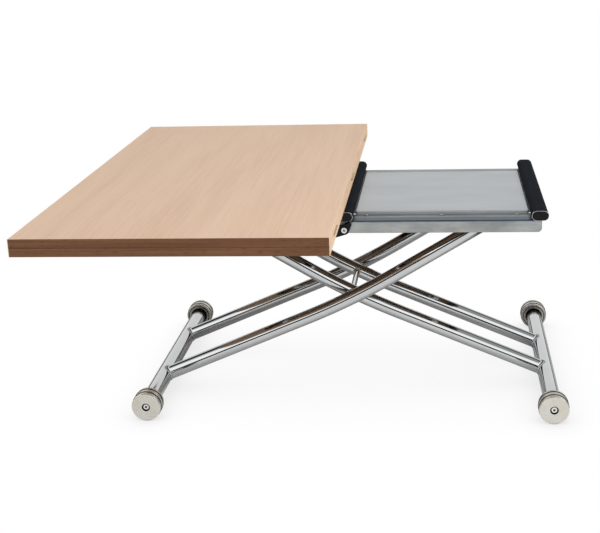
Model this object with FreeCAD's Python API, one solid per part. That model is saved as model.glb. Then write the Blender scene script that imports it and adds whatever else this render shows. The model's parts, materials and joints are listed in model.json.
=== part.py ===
"""Convertible coffee and dining table: a folding, swivelling top on a scissor lift.

Frame: millimetres, origin on the floor under the middle of the lift frame, X to the right,
Y to the back, Z up. The pose is the photographed one: the folded top is swivelled to its
opening position over the left half of the frame, and the lift stands a little above its low end.
"""
import FreeCAD
import Part
import math
import os

V = FreeCAD.Vector
X_AXIS = V(1, 0, 0)
Y_AXIS = V(0, 1, 0)
Z_AXIS = V(0, 0, 1)
PARALLEL_TOLERANCE = 1e-6
HEX_SIDES = 6

# Top: two leaves, hinged along the right edge of the folded stack
LEAF_WIDTH = 570.0
LEAF_LENGTH = 1100.0
LEAF_THICKNESS = 16.2
LEAF_GAP = 0.3
BAND_THICKNESS = 1.0
BAND_ROUND = 0.6

# Fold hinges, let flush into the faces that meet, so that only their barrels show at the edge
HINGE_SPREAD = 440.0
HINGE_LENGTH = 62.0
HINGE_BARREL_R = 2.2
HINGE_FLAP_THICKNESS = 1.4
HINGE_FLAP_WIDTH = 18.0
HINGE_PIN_R = 1.1
HINGE_KNUCKLE_GAP = 0.3
HINGE_POCKET_GAP = 0.3

# Scissor legs: each leg is one tube with a long gentle bend about the middle pivot
LEG_TUBE_R = 15.0
LEG_WALL = 1.5
LEG_LOWER_RUN = 344.0
LEG_UPPER_RUN = 262.7
LEG_BEND_R = 1500.0
LEG_BEND_ANGLE = 8.0
LEG_TILT = 26.7
OUTER_LEG_Y = 123.0
INNER_LEG_Y = 80.0
LEG_LUG_THICKNESS = 8.0
LEG_LUG_R = 11.0
LEG_LUG_REACH = 34.0
LEG_COLLAR = 3.0
PIVOT_AXLE_R = 6.0
PIVOT_BUSH_WALL = 3.0
PIVOT_SPACER_R = 11.0

# Feet: cross tubes with a plug in each end, whose hub carries a cup-shaped wheel
FOOT_TUBE_R = 17.5
FOOT_WALL = 2.0
PLUG_SPIGOT = 22.0
HUB_R = 16.0
HUB_REACH = 20.0
HUB_CHAMFER = 1.0
WHEEL_RADIUS = 30.6
WHEEL_WIDTH = 36.0
WHEEL_FACE_Y = 302.0
WHEEL_EDGE_CHAMFER = 1.2
WHEEL_RIM_WALL = 10.0
WHEEL_GROOVE_INSET = 4.0
WHEEL_GROOVE = 2.0
WHEEL_RECESS_R = 8.5
WHEEL_RECESS_DEPTH = 7.0
WHEEL_WEB = 5.0
WHEEL_RING_INSET = 11.0
WHEEL_RING_PITCH = 15.6
WHEEL_RING_R = 2.0
WHEEL_RING_PROUD = 0.9
AXLE_R = 5.0
AXLE_HEAD_R = 6.5
AXLE_HEAD_HEIGHT = 4.5
AXLE_HEAD_CHAMFER = 1.0
AXLE_SOCKET_FLATS = 5.0
AXLE_SOCKET_DEPTH = 2.8

# Lift frame: two side channels that are also the slide tracks, closed by end plates
FRAME_END_MARGIN = 68.3
FRAME_SIDE_MARGIN = 49.0
CHANNEL_HEIGHT = 25.0
CHANNEL_FLANGE_BOTTOM = 20.0
CHANNEL_WALL = 2.0
CHANNEL_CORNER_R = 9.0
CHANNEL_BEND_R = 3.0
END_PLATE_THICKNESS = 3.0

# Top plates: shallow sheet lids between the rest rails
PLATE_HEIGHT = 6.0
PLATE_SHEET = 1.5
PLATE_ROUND = 2.0
PLATE_CORNER = 4.0
PLATE_END_GAP = 1.5
PLATE_SCREW_R = 3.5
PLATE_SCREW_HEIGHT = 2.2
PLATE_SCREW_SLOT = 1.0
PLATE_SCREW_END_INSET = 23.0
PLATE_SCREW_GAP = 10.0

# Rest rails: flat oval tubes across the frame, just under the leaves
RAIL_WIDTH = 33.0
RAIL_HEIGHT = 19.0
RAIL_WALL = 1.6
RAIL_OVERHANG = 6.0
RAIL_INSET = 4.0
RAIL_CAP_LENGTH = 4.0
RAIL_CAP_ROUND = 1.5
RAIL_CAP_INSET = 0.8

# Top shafts of the scissor and the gas spring between them
SHAFT_R = 8.0
SHAFT_BLOCK_LENGTH = 32.0
SHAFT_BLOCK_WIDTH = 18.0
SLIDER_LENGTH = 24.0
SLIDER_WIDTH = 15.0
SPRING_TUBE_R = 11.0
SPRING_WALL = 1.5
SPRING_TUBE_REACH = 38.0
SPRING_GLAND = 8.0
SPRING_ROD_R = 5.0
SPRING_PISTON = 8.0
SPRING_EYE_R = 11.5
SPRING_EYE_WIDTH = 18.0
SPRING_EYE_NECK = 24.0
SPRING_EYE_TAPER = 2.0

# Release lever on the front channel, its shaft and the push rod to the valve
LEVER_DROP = 2.5
LEVER_THICKNESS = 11.0
LEVER_HUB_R = 10.0
LEVER_LOBE_R = 5.0
LEVER_LOBE_X = 9.0
LEVER_LOBE_Z = 9.0
LEVER_ARM = 112.0
LEVER_ARM_TILT = 18.0
LEVER_TIP_R = 6.5
LEVER_EDGE_ROUND = 1.5
LEVER_SHAFT_R = 4.0
LEVER_BUSH_WALL = 3.0
LEVER_BUSH_FLANGE = 2.0
LEVER_SCREW_R = 5.5
LEVER_SCREW_HEIGHT = 3.0
LEVER_SOCKET_FLATS = 5.0
LEVER_SOCKET_DEPTH = 2.2
CRANK_R = 9.0
CRANK_WIDTH = 6.0
CRANK_HUB_R = 7.5
CRANK_TIP_R = 3.0
CRANK_PIN_R = 2.0
PUSH_ROD_R = 2.5
PUSH_ROD_Y = -24.0
PUSH_ROD_PLATE = 4.0
BRACKET_Y = -44.0
BRACKET_HALF_WIDTH = 13.0

# Swivel under the lower leaf
SWIVEL_PLATE_SIZE = 100.0
SWIVEL_PLATE_THICKNESS = 5.0
SWIVEL_PLATE_CORNER = 12.0
SWIVEL_PLATE_MARGIN = 39.5
SWIVEL_BASE_R = 48.0
SWIVEL_BACKING_GAP = 2.0
SWIVEL_BACKING_THICKNESS = 3.0
SWIVEL_BOLT_R = 6.0
SWIVEL_HEAD_R = 9.0
SWIVEL_HEAD_HEIGHT = 2.5

# Clearances
RUNNING_FIT = 0.05
SEAT_GAP = 0.05
SLIDE_GAP = 0.3
LEAF_REST_GAP = 1.5
SIDE_GAP = 0.3


def direction(angle):
    """Unit vector in the XZ plane, rising to the right by the angle in degrees."""
    a = math.radians(angle)
    return V(math.cos(a), 0, math.sin(a))


# Centre line of a leg that stands on the left foot and rises to the right, pivot at X = 0
HALF_BEND = LEG_BEND_ANGLE / 2
TANGENT = direction(LEG_TILT)
NORMAL = direction(LEG_TILT + 90)
ARC_RUN = TANGENT * (LEG_BEND_R * math.sin(math.radians(HALF_BEND)))
ARC_LIFT = NORMAL * (LEG_BEND_R * (1 - math.cos(math.radians(HALF_BEND))))
LOWER_DIRECTION = direction(LEG_TILT - HALF_BEND)
UPPER_DIRECTION = direction(LEG_TILT + HALF_BEND)
FOOT_OFFSET = ARC_LIFT - ARC_RUN - LOWER_DIRECTION * LEG_LOWER_RUN
SHAFT_OFFSET = ARC_LIFT + ARC_RUN + UPPER_DIRECTION * LEG_UPPER_RUN
PIVOT = V(0, 0, WHEEL_RADIUS - FOOT_OFFSET.z)
FOOT_X = -FOOT_OFFSET.x
SHAFT_X = SHAFT_OFFSET.x
SHAFT_Z = PIVOT.z + SHAFT_OFFSET.z

# Levels and places that follow from the sizes above
FRAME_END = SHAFT_X + FRAME_END_MARGIN
FRAME_SIDE = LEAF_WIDTH / 2 - FRAME_SIDE_MARGIN
SWIVEL_X = -LEAF_WIDTH / 4
SWIVEL_Y = LEAF_WIDTH / 4
CHANNEL_BOTTOM = SHAFT_Z - CHANNEL_HEIGHT / 2
CHANNEL_TOP = SHAFT_Z + CHANNEL_HEIGHT / 2
CHANNEL_INNER_HEIGHT = CHANNEL_HEIGHT - 2 * CHANNEL_WALL
END_PLATE_X = FRAME_END - CHANNEL_CORNER_R
PLATE_TOP = CHANNEL_TOP + PLATE_HEIGHT
PLATE_SIDE = SWIVEL_Y + SWIVEL_PLATE_MARGIN
RAIL_TOP = CHANNEL_TOP + RAIL_HEIGHT
RAIL_X = FRAME_END - RAIL_INSET
RAIL_LENGTH = 2 * (FRAME_SIDE + RAIL_OVERHANG)
LEAF_BOTTOM = RAIL_TOP + LEAF_REST_GAP
SEAM_Z = LEAF_BOTTOM + LEAF_THICKNESS + LEAF_GAP / 2
TABLE_TOP = SEAM_Z + LEAF_GAP / 2 + LEAF_THICKNESS
LEAF_EDGE_X = -LEAF_GAP / 2
LEVER_Z = SHAFT_Z - LEVER_DROP
LEVER_BACK = -FRAME_SIDE - LEVER_BUSH_FLANGE - SIDE_GAP
LEVER_FRONT = LEVER_BACK - LEVER_THICKNESS
PUSH_ROD_Z = LEVER_Z + CRANK_R
FOOT_TUBE_END = WHEEL_FACE_Y - WHEEL_WIDTH - HUB_REACH
WHEEL_RIM = WHEEL_RADIUS - WHEEL_RING_PROUD
PLATE_INNER_X = RAIL_WIDTH / 2 + PLATE_END_GAP
PLATE_OUTER_X = RAIL_X - RAIL_WIDTH / 2 - PLATE_END_GAP
RAIL_SIDE_R = RAIL_HEIGHT / 2
RAIL_FOOT = RAIL_WIDTH / 2 - RAIL_SIDE_R + math.sqrt(RAIL_SIDE_R ** 2 - (RAIL_SIDE_R - PLATE_SHEET) ** 2)
SPRING_TUBE_END = SHAFT_X - SPRING_EYE_NECK
SPRING_TUBE_START = -SPRING_TUBE_REACH
HEAD_LENGTH = SPRING_EYE_NECK - SPRING_EYE_R


def block(x0, x1, y0, y1, z0, z1):
    """Box between two corners."""
    return Part.makeBox(x1 - x0, y1 - y0, z1 - z0, V(x0, y0, z0))


def rod(start, axis, radius, length):
    """Cylinder from a point along an axis."""
    return Part.makeCylinder(radius, length, start, axis)


def sleeve(start, axis, outer, inner, length):
    """Hollow cylinder from a point along an axis."""
    return rod(start, axis, outer, length).cut(rod(start, axis, inner, length))


def turned(points, centre, axis):
    """Solid of revolution of a closed polygon about an axis."""
    return Part.Face(Part.makePolygon(points + points[:1])).revolve(centre, axis, 360)


def bent_sheet(inner_points, thickness, extent):
    """Bent sheet from the polyline of its inner side, with rounded outer bends."""
    face = Part.makePolygon(inner_points).makeOffset2D(-thickness, 0, True, True)
    return face.extrude(extent)


def edges_along(shape, axis):
    """Straight edges that run along an axis."""
    found = []
    for edge in shape.Edges:
        if isinstance(edge.Curve, Part.Line):
            if edge.tangentAt(edge.FirstParameter).cross(axis).Length < PARALLEL_TOLERANCE:
                found.append(edge)
    return found


def rounded_block(x0, x1, y0, y1, z0, z1, radius, axis):
    """Box with its four edges along one axis rounded."""
    solid = block(x0, x1, y0, y1, z0, z1)
    return solid.makeFillet(radius, edges_along(solid, axis))


def flat_oval(half_width, half_height, y0, length, centre_x, centre_z):
    """Solid of flat oval section along Y."""
    run = half_width - half_height
    left = V(centre_x - run, y0, centre_z)
    right = V(centre_x + run, y0, centre_z)
    up = V(0, 0, half_height)
    edges = [
        Part.makeLine(left + up, right + up),
        Part.Arc(right + up, right + V(half_height, 0, 0), right - up).toShape(),
        Part.makeLine(right - up, left - up),
        Part.Arc(left - up, left - V(half_height, 0, 0), left + up).toShape(),
    ]
    return Part.Face(Part.Wire(edges)).extrude(V(0, length, 0))


def tangent_link(centre_a, radius_a, centre_b, radius_b, depth):
    """Plate round two circles and the straight flanks that touch both, extruded along Y."""
    span = centre_b - centre_a
    along = V(span).normalize()
    across = V(-along.z, 0, along.x)
    lean = (radius_a - radius_b) / span.Length
    flat = math.sqrt(1 - lean * lean)
    upper = along * lean + across * flat
    lower = along * lean - across * flat
    upper_a, lower_a = centre_a + upper * radius_a, centre_a + lower * radius_a
    upper_b, lower_b = centre_b + upper * radius_b, centre_b + lower * radius_b
    edges = [
        Part.makeLine(upper_a, upper_b),
        Part.Arc(upper_b, centre_b + along * radius_b, lower_b).toShape(),
        Part.makeLine(lower_b, lower_a),
        Part.Arc(lower_a, centre_a - along * radius_a, upper_a).toShape(),
    ]
    return Part.Face(Part.Wire(edges)).extrude(V(0, depth, 0))


def hex_socket(start, flats, depth):
    """Cutter for a hexagon socket along Y."""
    corner = flats / 2 / math.cos(math.pi / HEX_SIDES)
    points = [start + direction(360 * i / HEX_SIDES) * corner for i in range(HEX_SIDES)]
    return Part.Face(Part.makePolygon(points + points[:1])).extrude(V(0, depth, 0))


def mirrored(shape, normal):
    """Mirror image in the plane through the origin square to the normal."""
    return shape.mirror(V(0, 0, 0), normal)


def front_and_back(shape):
    """A piece and its mirror image at the other end of Y."""
    return Part.makeCompound([shape, mirrored(shape, Y_AXIS)])


def side_channel():
    """Front side channel: sheet profile with a rounded top bend and rounded lower corners."""
    inner = -FRAME_SIDE + CHANNEL_WALL
    low = CHANNEL_BOTTOM + CHANNEL_WALL
    high = CHANNEL_TOP - CHANNEL_WALL
    profile = [
        V(-FRAME_END, -FRAME_SIDE + CHANNEL_FLANGE_BOTTOM, low),
        V(-FRAME_END, inner, low),
        V(-FRAME_END, inner, high),
        V(-FRAME_END, -PLATE_SIDE, high),
    ]
    channel = bent_sheet(profile, CHANNEL_WALL, V(2 * FRAME_END, 0, 0))
    outline = block(-FRAME_END, FRAME_END, -FRAME_SIDE, -PLATE_SIDE, CHANNEL_BOTTOM, CHANNEL_TOP)
    lower = [e for e in edges_along(outline, Y_AXIS) if e.CenterOfMass.z < SHAFT_Z]
    outline = outline.makeFillet(CHANNEL_CORNER_R, lower)
    upper = [e for e in edges_along(outline, X_AXIS) if e.CenterOfMass.z > SHAFT_Z]
    bend = min(upper, key=lambda e: e.CenterOfMass.y)
    return channel.common(outline.makeFillet(CHANNEL_BEND_R, [bend]))


def lever_bush_hole():
    """Cutter for the lever's bush in the front channel."""
    radius = LEVER_SHAFT_R + LEVER_BUSH_WALL + SEAT_GAP
    return rod(V(0, -FRAME_SIDE, LEVER_Z), Y_AXIS, radius, CHANNEL_WALL)


def end_plates():
    """Plates that close the frame between the side channels."""
    side = FRAME_SIDE - CHANNEL_WALL - SEAT_GAP
    low = CHANNEL_BOTTOM + CHANNEL_WALL + SEAT_GAP
    high = CHANNEL_TOP - CHANNEL_WALL - SEAT_GAP
    plate = block(END_PLATE_X - END_PLATE_THICKNESS, END_PLATE_X, -side, side, low, high)
    return Part.makeCompound([plate, mirrored(plate, X_AXIS)])


def pressing(inset, low):
    """Rounded lid block of the right top plate, drawn in by an inset from its outer skin."""
    lid = block(PLATE_INNER_X + inset, PLATE_OUTER_X - inset, -PLATE_SIDE + inset, PLATE_SIDE - inset,
                low, PLATE_TOP - inset)
    lid = lid.makeFillet(PLATE_CORNER - inset, edges_along(lid, Z_AXIS))
    top = max(lid.Faces, key=lambda f: f.CenterOfMass.z)
    return lid.makeFillet(PLATE_ROUND - inset, top.Edges)


def top_plate():
    """Right top plate: a pressed sheet lid with a lip all round and flanges that reach under the rails."""
    lid = pressing(0, CHANNEL_TOP).cut(pressing(PLATE_SHEET, CHANNEL_TOP))
    side = PLATE_SIDE - PLATE_CORNER
    reach = RAIL_FOOT + SIDE_GAP
    flanges = []
    for start, end in ((reach, PLATE_INNER_X + PLATE_SHEET), (PLATE_OUTER_X - PLATE_SHEET, RAIL_X - reach)):
        flanges.append(block(start, end, -side, side, CHANNEL_TOP, CHANNEL_TOP + PLATE_SHEET))
    return lid.fuse(flanges).removeSplitter()


def cross_recess(seat, reach, low, high):
    """Cutter for a cross recess along Z, centred on a screw's seat."""
    half = PLATE_SCREW_SLOT / 2
    bars = []
    for along, across in ((reach, half), (half, reach)):
        bars.append(block(seat.x - along, seat.x + along, seat.y - across, seat.y + across, low, high))
    return bars[0].fuse(bars[1])


def top_plate_screws():
    """Pan-head screws with a cross recess, in front of and behind both plates' lips."""
    first, last = PLATE_INNER_X + PLATE_SCREW_END_INSET, PLATE_OUTER_X - PLATE_SCREW_END_INSET
    screws = []
    for x in (first, (first + last) / 2, last):
        for side in (-1, 1):
            for end in (-1, 1):
                seat = V(end * x, side * (PLATE_SIDE + PLATE_SCREW_GAP), CHANNEL_TOP)
                head = rod(seat, Z_AXIS, PLATE_SCREW_R, PLATE_SCREW_HEIGHT)
                crown = max(head.Faces, key=lambda f: f.CenterOfMass.z)
                head = head.makeFillet(PLATE_SCREW_HEIGHT / 2, crown.Edges)
                reach = PLATE_SCREW_R - PLATE_SCREW_SLOT
                middle = CHANNEL_TOP + PLATE_SCREW_HEIGHT / 2
                screws.append(head.cut(cross_recess(seat, reach, middle, PLATE_TOP)))
    return Part.makeCompound(screws)


def rest_rail(centre_x):
    """Flat oval tube across the frame."""
    z = CHANNEL_TOP + RAIL_HEIGHT / 2
    start = -RAIL_LENGTH / 2
    wide, tall = RAIL_WIDTH / 2, RAIL_HEIGHT / 2
    outer = flat_oval(wide, tall, start, RAIL_LENGTH, centre_x, z)
    inner = flat_oval(wide - RAIL_WALL, tall - RAIL_WALL, start, RAIL_LENGTH, centre_x, z)
    return outer.cut(inner)


def rest_rail_caps():
    """Moulded caps on the six rail ends, a little smaller than the rails."""
    z = CHANNEL_TOP + RAIL_HEIGHT / 2
    wide, tall = RAIL_WIDTH / 2 - RAIL_CAP_INSET, RAIL_HEIGHT / 2 - RAIL_CAP_INSET
    start = -RAIL_LENGTH / 2 - RAIL_CAP_LENGTH
    caps = []
    for centre_x in (-RAIL_X, 0, RAIL_X):
        cap = flat_oval(wide, tall, start, RAIL_CAP_LENGTH, centre_x, z)
        face = min(cap.Faces, key=lambda f: f.CenterOfMass.y)
        cap = cap.makeFillet(RAIL_CAP_ROUND, face.Edges)
        caps.extend([cap, mirrored(cap, Y_AXIS)])
    return Part.makeCompound(caps)


def top_shaft(centre_x):
    """Cross shaft between the side channels."""
    reach = FRAME_SIDE - CHANNEL_WALL - SIDE_GAP
    return rod(V(centre_x, -reach, SHAFT_Z), Y_AXIS, SHAFT_R, 2 * reach)


def shaft_blocks(centre_x, length, width, gap):
    """Bored blocks at both ends of a top shaft, inside the channels."""
    half = CHANNEL_INNER_HEIGHT / 2 - gap
    outer = -FRAME_SIDE + CHANNEL_WALL + gap
    low, high = SHAFT_Z - half, SHAFT_Z + half
    left, right = centre_x - length / 2, centre_x + length / 2
    body = rounded_block(left, right, outer, outer + width, low, high, CHANNEL_WALL, Y_AXIS)
    body = body.cut(rod(V(centre_x, outer, SHAFT_Z), Y_AXIS, SHAFT_R + SEAT_GAP, width))
    return front_and_back(body)


def gas_spring_cylinder():
    """Pressure tube with a gland at the rod end and a closed valve end."""
    bore = SPRING_TUBE_R - SPRING_WALL
    guide = SPRING_ROD_R + SLIDE_GAP
    start, end = SPRING_TUBE_START, SPRING_TUBE_END
    profile = [
        V(start, 0, SHAFT_Z + guide),
        V(start, 0, SHAFT_Z + SPRING_TUBE_R - SPRING_WALL),
        V(start + SPRING_WALL, 0, SHAFT_Z + SPRING_TUBE_R),
        V(end, 0, SHAFT_Z + SPRING_TUBE_R),
        V(end, 0, SHAFT_Z),
        V(end - SPRING_GLAND, 0, SHAFT_Z),
        V(end - SPRING_GLAND, 0, SHAFT_Z + bore),
        V(start + SPRING_GLAND, 0, SHAFT_Z + bore),
        V(start + SPRING_GLAND, 0, SHAFT_Z + guide),
    ]
    return turned(profile, V(0, 0, SHAFT_Z), X_AXIS)


def gas_spring_head():
    """Valve head: an eye on the fixed shaft and a boss that guides the push rod."""
    half = SPRING_EYE_WIDTH / 2
    centre = V(SHAFT_X, -half, SHAFT_Z)
    neck = V(SPRING_TUBE_END + SPRING_EYE_R, -half, SHAFT_Z)
    neck_r = SPRING_EYE_R - SPRING_EYE_TAPER
    eye = tangent_link(neck, neck_r, centre, SPRING_EYE_R, SPRING_EYE_WIDTH)
    head_end = SPRING_TUBE_END + HEAD_LENGTH
    face = block(SPRING_TUBE_END, head_end, -half, half, SHAFT_Z - neck_r, SHAFT_Z + neck_r)
    boss_r = PUSH_ROD_R + LEVER_BUSH_WALL
    boss_start = V(SPRING_TUBE_END, PUSH_ROD_Y, PUSH_ROD_Z)
    boss = rod(boss_start, X_AXIS, boss_r, HEAD_LENGTH)
    web = block(SPRING_TUBE_END, head_end, PUSH_ROD_Y, -half, PUSH_ROD_Z - boss_r, PUSH_ROD_Z + PUSH_ROD_R)
    head = eye.fuse([face, boss, web])
    head = head.cut(rod(boss_start, X_AXIS, PUSH_ROD_R + SLIDE_GAP, HEAD_LENGTH))
    return head.cut(rod(centre, Y_AXIS, SHAFT_R + SEAT_GAP, SPRING_EYE_WIDTH)).removeSplitter()


def gas_spring_rod():
    """Piston rod with its piston and the eye on the sliding shaft."""
    half = SPRING_EYE_WIDTH / 2
    neck_end = -SHAFT_X + SPRING_EYE_NECK
    piston_r = SPRING_TUBE_R - SPRING_WALL - SLIDE_GAP
    profile = [
        V(neck_end, 0, SHAFT_Z),
        V(neck_end, 0, SHAFT_Z + SPRING_ROD_R),
        V(-SPRING_PISTON, 0, SHAFT_Z + SPRING_ROD_R),
        V(-SPRING_PISTON, 0, SHAFT_Z + piston_r),
        V(0, 0, SHAFT_Z + piston_r),
        V(0, 0, SHAFT_Z),
    ]
    shank = turned(profile, V(0, 0, SHAFT_Z), X_AXIS)
    centre = V(-SHAFT_X, -half, SHAFT_Z)
    tail = V(neck_end - SPRING_ROD_R, -half, SHAFT_Z)
    eye_r, tail_r = SPRING_EYE_R - SPRING_EYE_TAPER, SPRING_ROD_R + SPRING_EYE_TAPER
    eye = tangent_link(centre, eye_r, tail, tail_r, SPRING_EYE_WIDTH)
    eye = eye.cut(rod(centre, Y_AXIS, SHAFT_R + SEAT_GAP, SPRING_EYE_WIDTH))
    return shank.fuse(eye).removeSplitter()


def leg_centre_line(upper_cut):
    """Wire from the foot axis, through the bend at the pivot, to a point short of the top shaft."""
    foot = PIVOT + FOOT_OFFSET
    bend_start = PIVOT + ARC_LIFT - ARC_RUN
    bend_end = PIVOT + ARC_LIFT + ARC_RUN
    top = PIVOT + SHAFT_OFFSET - UPPER_DIRECTION * upper_cut
    return Part.Wire([
        Part.makeLine(foot, bend_start),
        Part.Arc(bend_start, PIVOT, bend_end).toShape(),
        Part.makeLine(bend_end, top),
    ])


def leg_tube(radius):
    """Solid of one radius along a leg's centre line."""
    section = Part.Wire(Part.makeCircle(radius, PIVOT + FOOT_OFFSET, LOWER_DIRECTION))
    return leg_centre_line(LEG_LUG_REACH).makePipeShell([section], True, False)


def leg(y, pivot_hole_r):
    """Leg tube on the left foot at one Y, coped round the foot tube and pierced at the pivot."""
    tube = leg_tube(LEG_TUBE_R).cut(leg_tube(LEG_TUBE_R - LEG_WALL))
    foot = PIVOT + FOOT_OFFSET
    reach = V(0, 2 * LEG_TUBE_R, 0)
    tube = tube.cut(rod(foot - reach, Y_AXIS, FOOT_TUBE_R + SEAT_GAP, 2 * reach.y))
    tube = tube.cut(rod(PIVOT - reach, Y_AXIS, pivot_hole_r, 2 * reach.y))
    return tube.translated(V(0, y, 0))


def leg_lug(y):
    """Tongue on the top end of a leg, bored for the top shaft, with a collar on the tube's end."""
    half = LEG_LUG_THICKNESS / 2
    shaft = PIVOT + SHAFT_OFFSET
    root = shaft - UPPER_DIRECTION * (LEG_LUG_REACH - LEG_LUG_R)
    tongue = tangent_link(shaft - V(0, half, 0), LEG_LUG_R, root - V(0, half, 0), LEG_LUG_R, 2 * half)
    collar = rod(shaft - UPPER_DIRECTION * LEG_LUG_REACH, UPPER_DIRECTION, LEG_TUBE_R, LEG_COLLAR)
    spigot = rod(shaft - UPPER_DIRECTION * (LEG_LUG_REACH + LEG_TUBE_R), UPPER_DIRECTION,
                 LEG_TUBE_R - LEG_WALL - SEAT_GAP, LEG_TUBE_R)
    lug = tongue.fuse([collar, spigot])
    lug = lug.cut(rod(shaft - V(0, half, 0), Y_AXIS, SHAFT_R + RUNNING_FIT, 2 * half))
    return lug.removeSplitter().translated(V(0, y, 0))


def pivot_axle():
    """Cross axle at the pivot, held in the outer legs."""
    reach = OUTER_LEG_Y + LEG_TUBE_R - LEG_WALL - SIDE_GAP
    return rod(PIVOT - V(0, reach, 0), Y_AXIS, PIVOT_AXLE_R, 2 * reach)


def pivot_bush(y):
    """Sleeve through an inner leg for the pivot axle."""
    half = LEG_TUBE_R + SIDE_GAP
    outer = PIVOT_AXLE_R + PIVOT_BUSH_WALL
    return sleeve(PIVOT + V(0, y - half, 0), Y_AXIS, outer, PIVOT_AXLE_R + RUNNING_FIT, 2 * half)


def pivot_spacer():
    """Washer on the axle between an outer and an inner leg."""
    start = -OUTER_LEG_Y + LEG_TUBE_R + SEAT_GAP
    length = OUTER_LEG_Y - INNER_LEG_Y - 2 * LEG_TUBE_R - SEAT_GAP - 2 * SIDE_GAP
    return sleeve(PIVOT + V(0, start, 0), Y_AXIS, PIVOT_SPACER_R, PIVOT_AXLE_R + SEAT_GAP, length)


def foot_tube():
    """Cross tube of the left foot."""
    start = V(-FOOT_X, -FOOT_TUBE_END, WHEEL_RADIUS)
    return sleeve(start, Y_AXIS, FOOT_TUBE_R, FOOT_TUBE_R - FOOT_WALL, 2 * FOOT_TUBE_END)


def foot_axis_turned(profile):
    """Body turned about the left foot's axis from (radius, y) points."""
    return turned([V(-FOOT_X + r, y, WHEEL_RADIUS) for r, y in profile], V(-FOOT_X, 0, WHEEL_RADIUS), Y_AXIS)


def foot_plug():
    """Plug in the front end of the left foot tube, with a bored hub that reaches into the wheel."""
    spigot_r = FOOT_TUBE_R - FOOT_WALL - SEAT_GAP
    bore = AXLE_R + SEAT_GAP
    tip = -WHEEL_FACE_Y + WHEEL_RECESS_DEPTH + WHEEL_WEB + SIDE_GAP
    return foot_axis_turned([
        (bore, tip),
        (HUB_R - HUB_CHAMFER, tip),
        (HUB_R, tip + HUB_CHAMFER),
        (HUB_R, -FOOT_TUBE_END),
        (spigot_r, -FOOT_TUBE_END),
        (spigot_r, -FOOT_TUBE_END + PLUG_SPIGOT),
        (bore, -FOOT_TUBE_END + PLUG_SPIGOT),
    ])


def axle_screw():
    """Shoulder screw that carries the front left wheel, with a hexagon socket in its head."""
    floor = -WHEEL_FACE_Y + WHEEL_RECESS_DEPTH - SIDE_GAP
    face = floor - AXLE_HEAD_HEIGHT
    tip = -FOOT_TUBE_END + PLUG_SPIGOT
    screw = foot_axis_turned([
        (0, face),
        (AXLE_HEAD_R - AXLE_HEAD_CHAMFER, face),
        (AXLE_HEAD_R, face + AXLE_HEAD_CHAMFER),
        (AXLE_HEAD_R, floor),
        (AXLE_R, floor),
        (AXLE_R, tip),
        (0, tip),
    ])
    return screw.cut(hex_socket(V(-FOOT_X, face, WHEEL_RADIUS), AXLE_SOCKET_FLATS, AXLE_SOCKET_DEPTH))


def ring_centres():
    """Y of the two rubber rings on a front wheel."""
    first = -WHEEL_FACE_Y + WHEEL_RING_INSET
    return first, first + WHEEL_RING_PITCH


def wheel():
    """Front left wheel: turned cup with a screw recess, two ring grooves and a groove in its back."""
    face = -WHEEL_FACE_Y
    back = face + WHEEL_WIDTH
    floor = face + WHEEL_RECESS_DEPTH
    web = floor + WHEEL_WEB
    hollow_r = WHEEL_RIM - WHEEL_RIM_WALL
    groove_r = WHEEL_RIM - WHEEL_GROOVE_INSET
    cup = foot_axis_turned([
        (WHEEL_RECESS_R, face),
        (WHEEL_RIM - WHEEL_EDGE_CHAMFER, face),
        (WHEEL_RIM, face + WHEEL_EDGE_CHAMFER),
        (WHEEL_RIM, back - WHEEL_EDGE_CHAMFER),
        (WHEEL_RIM - WHEEL_EDGE_CHAMFER, back),
        (groove_r, back),
        (groove_r, back - WHEEL_GROOVE),
        (groove_r - WHEEL_GROOVE, back - WHEEL_GROOVE),
        (groove_r - WHEEL_GROOVE, back),
        (hollow_r, back),
        (hollow_r, web),
        (AXLE_R + RUNNING_FIT, web),
        (AXLE_R + RUNNING_FIT, floor),
        (WHEEL_RECESS_R, floor),
    ])
    for y in ring_centres():
        cup = cup.cut(wheel_ring(y, WHEEL_RING_R + SEAT_GAP))
    return cup


def wheel_ring(y, section_r):
    """Rubber ring round the front left wheel."""
    major = WHEEL_RADIUS - WHEEL_RING_R
    return Part.makeTorus(major, section_r, V(-FOOT_X, y, WHEEL_RADIUS), Y_AXIS)


def lever():
    """Release lever: a hub, a short lobe above it and a drooping finger arm."""
    hub = V(0, LEVER_FRONT, LEVER_Z)
    lobe = hub + V(LEVER_LOBE_X, 0, LEVER_LOBE_Z)
    tip = hub - direction(LEVER_ARM_TILT) * LEVER_ARM
    arm = tangent_link(hub, LEVER_HUB_R, tip, LEVER_TIP_R, LEVER_THICKNESS)
    thumb = tangent_link(hub, LEVER_HUB_R, lobe, LEVER_LOBE_R, LEVER_THICKNESS)
    body = arm.fuse(thumb).removeSplitter()
    face = min(body.Faces, key=lambda f: f.CenterOfMass.y)
    body = body.makeFillet(LEVER_EDGE_ROUND, face.Edges)
    return body.cut(rod(hub, Y_AXIS, LEVER_SHAFT_R + SEAT_GAP, LEVER_THICKNESS))


def lever_screw():
    """Socket screw that holds the lever on its shaft."""
    start = V(0, LEVER_FRONT - LEVER_SCREW_HEIGHT, LEVER_Z)
    head = rod(start, Y_AXIS, LEVER_SCREW_R, LEVER_SCREW_HEIGHT)
    return head.cut(hex_socket(start, LEVER_SOCKET_FLATS, LEVER_SOCKET_DEPTH))


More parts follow.
